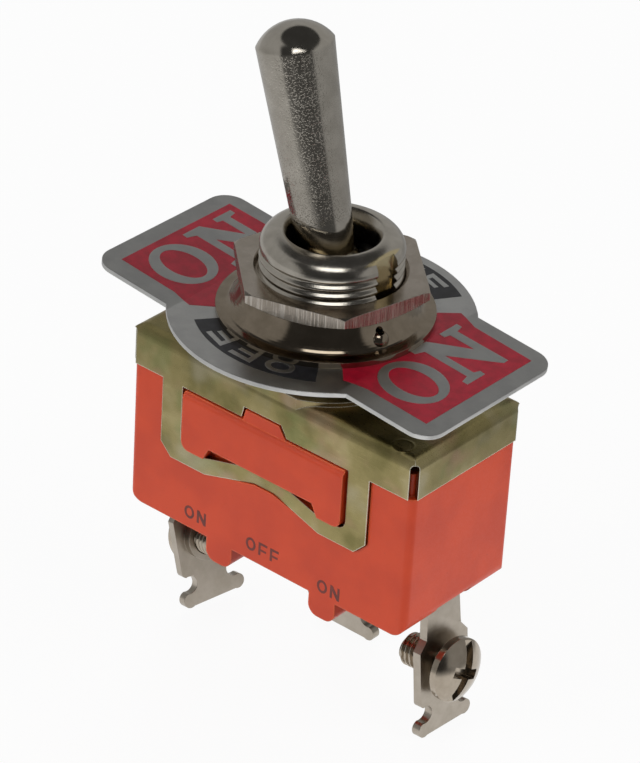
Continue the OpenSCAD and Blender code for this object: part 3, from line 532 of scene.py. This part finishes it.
def bushing_rings():
    """Profiles round the axis: up the bore, over the lip, down the thread and over the flange."""
    half_key = math.asin(KEY_W / 2 / THREAD_R)
    rounding, tiny = 1.001, 1e-6
    # Foot of the bore, round the ball, through the neck and out to the mouth
    bore = [(4.95, FLANGE_Z), (4.0, PIVOT_Z + 1), (NECK_R, PIVOT_Z + 1.6), (NECK_R, RIM_Z - 1.0),
            (NECK_R + 0.25, RIM_Z - 0.55), (MOUTH_R, RIM_Z - 0.12)]
    lip_in, lip_drop = MOUTH_R + 0.14, 0.03
    lip = []
    for k in range(LIP_STEPS + 1):
        a = math.pi / 2 * k / LIP_STEPS
        lip.append((lip_in + (THREAD_R - lip_in) * math.sin(a),
                    RIM_Z - lip_drop - (LIP_H - lip_drop) * (1 - math.cos(a))))
    top = lip[-1][1]
    thread_l = top + SHEET_T
    steps = int(thread_l / (PITCH / BUSHING_STEPS))
    shaft = [top - thread_l * k / steps for k in range(1, steps + 1)]
    run_out, seam = PITCH * 0.5, 0.001
    flange_side = COVER_SIDE - BOSS_INSET - SHEET_T - FIT
    rings = []
    for a in bushing_angles(half_key):
        from_key = a if a <= math.pi else a - FULL_TURN
        keyed = abs(from_key) <= half_key * rounding
        most = (THREAD_R - KEY_D) / math.cos(from_key) if keyed else math.inf
        ring = list(bore)
        ring += [(min(r, most), z) for r, z in lip]
        for z in shaft:
            depth = bushing_depth(z, a) * min(1, (top - z) / run_out)
            ring.append((min(THREAD_R - depth, most), z))
        flange_r = min(FLANGE_R, flange_side / max(abs(math.sin(a)), tiny))
        ring += [(flange_r, -SHEET_T - seam), (flange_r, FLANGE_Z)]
        rings.append([(r * math.cos(a), r * math.sin(a), z) for r, z in ring])
    return rings


def threaded_bushing():
    """The bushing with its rolled thread, keyway and broad round lip."""
    bm = bmesh.new()
    add_skin(bm, bushing_rings(), closed=True)
    bm.transform(Matrix.Scale(MM, 4))
    bmesh.ops.recalc_face_normals(bm, faces=bm.faces)
    obj = add_object("bushing_threaded", bm, rounded=True)
    dress(obj, "bushing")
    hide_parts("bushing")


threaded_bushing()


def spin(degrees, axis):
    """Turn about an axis."""
    return Matrix.Rotation(math.radians(degrees), 4, axis)


def blade_frame(reach, lean=0.0, twist=0.0, up=0.0, side=1, turned=0.0):
    """Frame of a terminal's screw: z along the screw to its head, origin on the blade's face."""
    mirror = Matrix.Scale(-1, 4, (1, 0, 0)) if side < 0 else Matrix.Identity(4)
    bend = Matrix.Translation((reach - BEND_IN - BLADE_T, 0, BEND_Z)) @ spin(-lean, "Y")
    middle = Matrix.Translation((BEND_IN + BLADE_T / 2, 0, up)) @ spin(twist, "Z")
    face = Matrix.Translation((BLADE_T / 2, 0, -SCREW_V)) @ spin(90, "Y")
    return spin(turned, "Z") @ mirror @ bend @ middle @ face


def screw_depth(z, angle):
    """Depth of a screw's thread: flat crests, V flanks, narrow roots."""
    share = (z / SCREW_PITCH - angle / FULL_TURN) % 1.0
    off_root = abs(share - 0.5) * 2
    crest = 1 - SCREW_CREST
    if off_root <= SCREW_ROOT:
        return SCREW_DEPTH
    if off_root >= crest:
        return 0.0
    return SCREW_DEPTH * (crest - off_root) / (crest - SCREW_ROOT)


def screw_rings(backed, overlap):
    """Profiles round a screw's axis, from inside its head down to its tip."""
    top = backed + overlap
    steps = int(SCREW_L / (SCREW_PITCH / SCREW_STEPS))
    rings = []
    for i in range(SCREW_AROUND):
        a = FULL_TURN * i / SCREW_AROUND
        ring = [(0, 0, top)]
        for k in range(steps + 1):
            z = top - (SCREW_L + overlap) * k / steps
            tip = min(1, (z - backed + SCREW_L) / SCREW_TIP)
            r = SCREW_R - screw_depth(z, a) - TIP_CUT * (1 - tip)
            ring.append((r * math.cos(a), r * math.sin(a), z))
        ring.append((0, 0, backed - SCREW_L))
        rings.append(ring)
    return rings


def threaded_screw(node, place, backed):
    """The part's own screw head with a real thread, backed out of its terminal by a length."""
    overlap, weld = 0.02, 1e-5
    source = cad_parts[node]
    bm = bmesh.new()
    bm.from_mesh(source.data)
    bm.transform(place.inverted() @ Matrix.Scale(1 / MM, 4) @ source.matrix_world)
    cut = bmesh.ops.bisect_plane(bm, geom=bm.verts[:] + bm.edges[:] + bm.faces[:],
                                 plane_co=(0, 0, backed - overlap), plane_no=(0, 0, 1),
                                 clear_inner=True)
    rim = [g for g in cut["geom_cut"] if isinstance(g, bmesh.types.BMEdge)]
    bmesh.ops.holes_fill(bm, edges=rim, sides=0)
    verts = add_skin(bm, screw_rings(backed, overlap), closed=False)
    bmesh.ops.remove_doubles(bm, verts=verts, dist=weld)
    bm.transform(Matrix.Scale(MM, 4) @ place)
    bmesh.ops.recalc_face_normals(bm, faces=bm.faces)
    obj = add_object(node + "_threaded", bm, rounded=True)
    dress(obj, "screws")
    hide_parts(node)


threaded_screw("screw_right", blade_frame(TERM_X, LEAN_RIGHT, TWIST_RIGHT), SCREW_OUT)
threaded_screw("screw_left",
               blade_frame(TERM_X + OUT_LEFT, LEAN_LEFT, TWIST_LEFT, up=OUT_LEFT, side=-1), 0.0)
threaded_screw("screw_centre", blade_frame(CENTRE_Y, turned=90), 0.0)


# Thickness of the print, and how far its words lie over its fields
PRINT_T, WORD_LIFT = 0.012, 0.006
# The print sits a little off the plate's middle
PRINT_MID = (0.43, 0.5)
RING_IN, RING_OUT = 8.3, 11.28
# Ends of the black arcs in degrees, and middles of the words on the wings and on the arcs
BLACK_ARCS = {"near": (-127, -55.6), "far": (57, 125)}
WING_WORDS = {"left": -12.6, "right": 12.05}
ARC_WORDS = {"near": -91.2, "far": 91.2}


def on_plate(u, v, lift):
    """Point on the plate's top, given in the flat plate's own plane."""
    middle = PLATE_T / 2
    x, z = u, PLATE_T + lift
    if abs(u) > BEND_X:
        side = 1 if u > 0 else -1
        a = BEND_DOWN if side > 0 else -BEND_UP
        along, over = abs(u) - BEND_X, middle + lift
        x = side * (BEND_X + along * math.cos(a) + over * math.sin(a))
        z = middle - along * math.sin(a) + over * math.cos(a)
    return (x + PLATE_SHIFT[0], v + PLATE_SHIFT[1], PLATE_Z + z)


def print_piece(name, loops, key, lift=0.0, place=on_plate, thick=PRINT_T):
    """A thin piece of print or painted shade from outline loops, cut at the plate's bends so it can
    follow.
    """
    bm = bmesh.new()
    edges = []
    for loop in loops:
        verts = [bm.verts.new((x, y, 0)) for x, y in loop]
        ends = verts[1:] + verts[:1]
        edges += [bm.edges.new(pair) for pair in zip(verts, ends)]
    bmesh.ops.triangle_fill(bm, use_beauty=True, use_dissolve=False, edges=edges)
    for bend in (-BEND_X, BEND_X):
        bmesh.ops.bisect_plane(bm, geom=bm.verts[:] + bm.edges[:] + bm.faces[:],
                               plane_co=(bend, 0, 0), plane_no=(1, 0, 0))
    raised = bmesh.ops.extrude_face_region(bm, geom=bm.faces[:])["geom"]
    for vert in raised:
        if isinstance(vert, bmesh.types.BMVert):
            vert.co.z += thick
    bmesh.ops.recalc_face_normals(bm, faces=bm.faces)
    for vert in bm.verts:
        vert.co = Vector(place(vert.co.x, vert.co.y, lift + vert.co.z)) * MM
    dress(add_object(name, bm, rounded=False), key)


def arc(centre, r, start, end, steps):
    """Points of an arc, angles in degrees."""
    angles = [math.radians(start + (end - start) * i / steps) for i in range(steps + 1)]
    return [(centre[0] + r * math.cos(a), centre[1] + r * math.sin(a)) for a in angles]


def ellipse(cx, cy, rx, ry, steps=40):
    """Points of an ellipse with its middle and its two radii."""
    angles = [FULL_TURN * i / steps for i in range(steps)]
    return [(cx + rx * math.cos(a), cy + ry * math.sin(a)) for a in angles]


def red_field(side):
    """Red field of a wing: square at its end, wider where it follows the disc, round inside."""
    end, near, far = 16.3, -6.5, 6.9
    far_neck, near_neck = (10.3, 7.0), (10.3, -6.55)
    far_shoulder, near_shoulder = (8.25, 7.8), (8.2, -7.05)
    inner_r, spread, steps = 8.0, 43, 20
    mirrored = 0 if side > 0 else -2 * PRINT_MID[0]
    loop = [(end, near), (end, far), far_neck, far_shoulder]
    loop += [(x + mirrored, y) for x, y in arc(PRINT_MID, inner_r, spread, -spread, steps)]
    loop += [near_shoulder, near_neck]
    return [(side * x, y) for x, y in loop]


def black_arc(start, end, steps=32):
    """Black field round the disc, between two angles."""
    return arc(PRINT_MID, RING_OUT, start, end, steps) + arc(PRINT_MID, RING_IN, end, start, steps)


for side, word in ((-1, "left"), (1, "right")):
    print_piece("red_field_" + word, [red_field(side)], "red")
for word, ends in BLACK_ARCS.items():
    print_piece("black_arc_" + word, [black_arc(*ends)], "black")


def serif_o():
    """Loops of the wings' O, thicker at its sides than at its top and bottom."""
    x, half_w, half_h = -2.95, 2.76, 3.0
    side_stroke, top_stroke = 1.22, 0.72
    return [ellipse(x, 0, half_w, half_h),
            ellipse(x, 0, half_w - side_stroke, half_h - top_stroke)]


def serif_n():
    """Loop of the wings' N, its two stems ending in serifs."""
    high, low = 3.0, -3.0
    serif, flare = 0.55, 0.05
    foot_curve, cap_curve, peak_curve = 0.2, 0.15, 0.3
    left, right = (1.05, 1.9), (4.5, 5.4)
    foot, cap = (0.2, 2.45), (3.95, 6.2)
    slope_top, slope_foot = 2.25, 4.85
    slope_left, slope_right = 0.75, -0.25
    foot_z, cap_z = low + serif, high - serif
    foot_end, cap_end = foot_z + foot_curve, cap_z - cap_curve
    return [[(foot[0], low), (foot[1], low), (foot[1] + flare, foot_z), (left[1], foot_end),
             (left[1], slope_left), (slope_foot, low), (right[1] + flare, low),
             (right[1], cap_end), (cap[1], cap_z), (cap[1], high), (cap[0], high),
             (cap[0] - flare, cap_z), (right[0], cap_end), (right[0], slope_right),
             (slope_top, high), (foot[0], high), (foot[0] - flare, cap_z),
             (left[0], cap_z - peak_curve), (left[0], foot_end), (foot[0], foot_z)]]


def on_wing(middle):
    """Places flat letters on a wing, their tops towards -X, reading towards +Y."""
    def place(u, v, lift):
        return on_plate(middle - v, u, lift)
    return place


for word, middle in WING_WORDS.items():
    for letter, loops in (("o", serif_o()), ("n", serif_n())):
        print_piece("word_on_%s_%s" % (word, letter), loops, "on_off_plate", WORD_LIFT,
                    on_wing(middle))


# Letters' widths as shares of their height
LETTER_WIDTHS = {"O": 0.86, "F": 0.75, "N": 0.8}


def sans_letter(letter, w, h, stroke):
    """Loops of a letter in plain strokes, with its width and height."""
    steps, top = 32, h - stroke
    if letter == "O":
        return [ellipse(w / 2, h / 2, w / 2, h / 2, steps),
                ellipse(w / 2, h / 2, w / 2 - stroke, h / 2 - stroke, steps)]
    if letter == "F":
        arm_w, arm_foot = w * 0.9, h * 0.34
        arm_top = arm_foot + 0.85 * stroke
        return [[(0, 0), (stroke, 0), (stroke, arm_foot), (arm_w, arm_foot), (arm_w, arm_top),
                 (stroke, arm_top), (stroke, top), (w, top), (w, h), (0, h)]]
    slope_w, slope_h = 1.1 * stroke, 2.2 * stroke
    return [[(0, 0), (stroke, 0), (stroke, h - slope_h), (w - slope_w, 0), (w, 0), (w, h),
             (w - stroke, h), (w - stroke, slope_h), (slope_w, h), (0, h)]]


def sans_text(word, size, stroke, gap, wide=1.0):
    """Loops of each letter of a word, set from x = 0, and the word's width."""
    letters, x = [], 0.0
    for letter in word:
        w = size * LETTER_WIDTHS[letter] * wide
        loops = sans_letter(letter, w, size, stroke)
        letters.append([[(x + across, up) for across, up in loop] for loop in loops])
        x += w + size * gap
    return letters, x - size * gap


# OFF on the black arcs: radius of the letters' feet, and their height
LETTER_FOOT, LETTER_H = 8.95, 1.95


def on_arc(middle, width):
    """Places flat letters on a black arc, tops outwards, reading clockwise seen from above."""
    def place(u, v, lift):
        turned = math.degrees((u - width / 2) / (LETTER_FOOT + LETTER_H / 2))
        a, r = math.radians(middle - turned), LETTER_FOOT + v
        return on_plate(PRINT_MID[0] + r * math.cos(a), PRINT_MID[1] + r * math.sin(a), lift)
    return place


for word, middle in ARC_WORDS.items():
    letters, width = sans_text("OFF", LETTER_H, stroke=0.48, gap=0.46, wide=1.5)
    for k, loops in enumerate(letters):
        print_piece("word_off_%s_%d" % (word, k), loops, "on_off_plate", WORD_LIFT,
                    on_arc(middle, width))

# Words on the housing's front, their engraved recesses painted as dark shade: letters' height, the
# thickness of that painted shade and its gap, and each word's middle
MARK_H, MARK_T, MARK_GAP = 1.25, 0.01, 0.002
MARKS = (("ON", -7.65, -16.14), ("OFF", -0.18, -16.1), ("ON", 7.05, -16.59))


def on_front(x0, z0):
    """Places flat letters on the housing's front face."""
    def place(u, v, lift):
        return (x0 + u, HOUSING_FRONT - lift - MARK_GAP, z0 + v)
    return place


for word, x_mid, z_mid in MARKS:
    letters, width = sans_text(word, MARK_H, stroke=0.23, gap=0.26)
    for k, loops in enumerate(letters):
        print_piece("mark_%s_%d_%d" % (word.lower(), round(x_mid), k), loops, "engraved",
                    place=on_front(x_mid - width / 2, z_mid - MARK_H / 2), thick=MARK_T)


# The studio, in metres: a camera, a light tent open towards it and above, and soft boxes
CAMERA = Vector((0.17493, -0.21946, 0.17011))
CAMERA_RIGHT, CAMERA_UP = (0.7595, 0.6484, 0.0526), (-0.3747, 0.3699, 0.8502)
CAMERA_BACK = (0.5317, -0.6654, 0.5239)
SENSOR_MM, LENS_MM = 36, 189.15
CLIP_NEAR, CLIP_FAR = 0.01, 20
FRONT = Vector((CAMERA.x, CAMERA.y, 0)).normalized()
SIDEWAYS = Vector((-FRONT.y, FRONT.x, 0))
# The tent opens a little to the right of the camera
OPENING = (FRONT + SIDEWAYS * math.tan(math.radians(6))).normalized()

# Floor: half its size, its gap under the part, and the share of it that shines by itself
FLOOR_HALF, FLOOR_GAP, SHINE = 1.5, 0.0002, 0.93
FLOOR_GREY = (0.8, 0.8, 0.8, 1)
# In metal the floor is whitest round the object, and grey beyond, on the left and on the right
WHITE_R = (0.04, 0.065)
FLOOR_LEFT, FLOOR_RIGHT, SIDE_BLEND = 0.5, 0.3, 0.05
# Dark sector in front: its half angles, its start and end, and how much of the light is gone
SECTOR = (math.cos(math.radians(50)), math.cos(math.radians(42)))
SECTOR_R, SECTOR_LOSS = (0.09, 0.15), 0.86
# Bright patch in front: its distance, and the radius where it fades
PATCH_AT, PATCH_R = 0.075, (0.03, 0.045)

# Walls of the tent and its dark opening, which runs from the front over the top: its half width,
# where it ends at the back, and the round hole above, leaning back
WALL_LEVEL, DARK_LEVEL = 0.38, 0.05
STRIP_SIDE, STRIP_BACK = (0.64, 0.74), (-0.25, 0.1)
HOLE = (Vector((0, 0, 1)) - FRONT * math.tan(math.radians(15))).normalized()
HOLE_EDGE = (math.cos(math.radians(40)), math.cos(math.radians(34)))
TENT_COLOUR = (1.0, 0.995, 0.985, 1)


def white_floor():
    """White floor of a light tent, grey towards the walls and dark outside the tent's open front."""
    mat = bpy.data.materials.new("white_floor")
    t = Nodes(mat)
    place = t.add("TexCoord").outputs["Object"]
    flat = t.vector("MULTIPLY", place, (1, 1, 0))
    far = t.vector("LENGTH", flat)
    aside = t.vector("DOT_PRODUCT", place, SIDEWAYS)
    grey = t.span(aside, -SIDE_BLEND, SIDE_BLEND, FLOOR_LEFT, FLOOR_RIGHT)
    inside = t.span(far, *WHITE_R, 1.0, grey)
    in_front = t.span(t.vector("DOT_PRODUCT", t.vector("NORMALIZE", flat), OPENING), *SECTOR)
    gone = t.times(in_front, t.span(far, *SECTOR_R, 0.0, SECTOR_LOSS))
    patch = t.span(t.vector("DISTANCE", place, FRONT * PATCH_AT), *PATCH_R, 1.0, 0.0)
    path = t.add("LightPath").outputs
    level = t.largest(t.times(inside, t.math("SUBTRACT", 1.0, gone)), patch,
                      path["Is Camera Ray"])
    seen = t.largest(path["Is Camera Ray"], path["Is Glossy Ray"], path["Is Transmission Ray"])
    diffuse = t.add("BsdfDiffuse")
    t.put(FLOOR_GREY, diffuse.inputs["Color"])
    shine = t.add("Emission")
    t.put((1, 1, 1, 1), shine.inputs["Color"])
    t.put(level, shine.inputs["Strength"])
    mixer = t.add("MixShader")
    t.put(t.times(seen, SHINE), mixer.inputs[0])
    t.put(diffuse.outputs[0], mixer.inputs[1])
    t.put(shine.outputs[0], mixer.inputs[2])
    t.put(mixer.outputs[0], t.add("OutputMaterial").inputs[0])
    return mat


def tent():
    """The tent's soft walls and its open front and top as the world."""
    world = bpy.data.worlds.new("tent")
    t = Nodes(world)
    place = t.add("TexCoord").outputs["Generated"]
    aside, above, behind = [t.vector("DOT_PRODUCT", place, axis)
                            for axis in (SIDEWAYS, HOLE, -FRONT)]
    strip = t.times(t.span(t.math("ABSOLUTE", aside), *STRIP_SIDE, 1.0, 0.0),
                    t.span(behind, *STRIP_BACK, 1.0, 0.0))
    dark = t.largest(strip, t.span(above, *HOLE_EDGE))
    walls = t.span(dark, 0.0, 1.0, WALL_LEVEL, DARK_LEVEL)
    back = t.add("Background")
    t.put(TENT_COLOUR, back.inputs["Color"])
    t.put(t.largest(walls, t.add("LightPath").outputs["Is Camera Ray"]), back.inputs["Strength"])
    t.put(back.outputs[0], t.add("OutputWorld").inputs[0])
    return world


def lamp(name, turn, rise, distance, size, power, shown=False):
    """Soft box at an angle to the left of the camera's side and a height angle, in degrees.

    Metal shows the tent's walls, and of the lamps only those shown.
    """
    light = bpy.data.lights.new(name, "AREA")
    light.shape = "RECTANGLE"
    light.size, light.size_y = size
    light.energy = power
    obj = bpy.data.objects.new(name, light)
    bpy.context.collection.objects.link(obj)
    a = math.atan2(FRONT.y, FRONT.x) - math.radians(turn)
    e = math.radians(rise)
    towards = Vector((math.cos(e) * math.cos(a), math.cos(e) * math.sin(a), math.sin(e)))
    obj.location = towards * distance
    obj.rotation_euler = (-obj.location).to_track_quat("-Z", "Y").to_euler()
    obj.visible_glossy = shown


floor_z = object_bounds()[0][2] - FLOOR_GAP
floor_mesh = bpy.data.meshes.new("floor")
floor_mesh.from_pydata([(x * FLOOR_HALF, y * FLOOR_HALF, 0)
                        for x, y in ((-1, -1), (1, -1), (1, 1), (-1, 1))], [], [(0, 1, 2, 3)])
floor = bpy.data.objects.new("floor", floor_mesh)
floor.location.z = floor_z
bpy.context.collection.objects.link(floor)
floor_mesh.materials.append(white_floor())

lamp("left_box", turn=62, rise=26, distance=0.5, size=(0.34, 0.34), power=1.15)
lamp("right_box", turn=-66, rise=26, distance=0.5, size=(0.34, 0.34), power=1.1)
lamp("back_box", turn=180, rise=35, distance=0.5, size=(0.34, 0.34), power=0.9)
lamp("front_box", turn=0, rise=60, distance=0.6, size=(0.33, 0.2), power=0.55, shown=True)

scene = bpy.context.scene
scene.world = tent()
scene.view_settings.view_transform = "Standard"
cam_data = bpy.data.cameras.new("camera")
cam_data.sensor_width, cam_data.lens = SENSOR_MM, LENS_MM
cam_data.clip_start, cam_data.clip_end = CLIP_NEAR, CLIP_FAR
camera = bpy.data.objects.new("camera", cam_data)
bpy.context.collection.objects.link(camera)
axes = Matrix((CAMERA_RIGHT, CAMERA_UP, CAMERA_BACK)).transposed()
camera.matrix_world = Matrix.Translation(CAMERA) @ axes.to_4x4()
scene.camera = camera
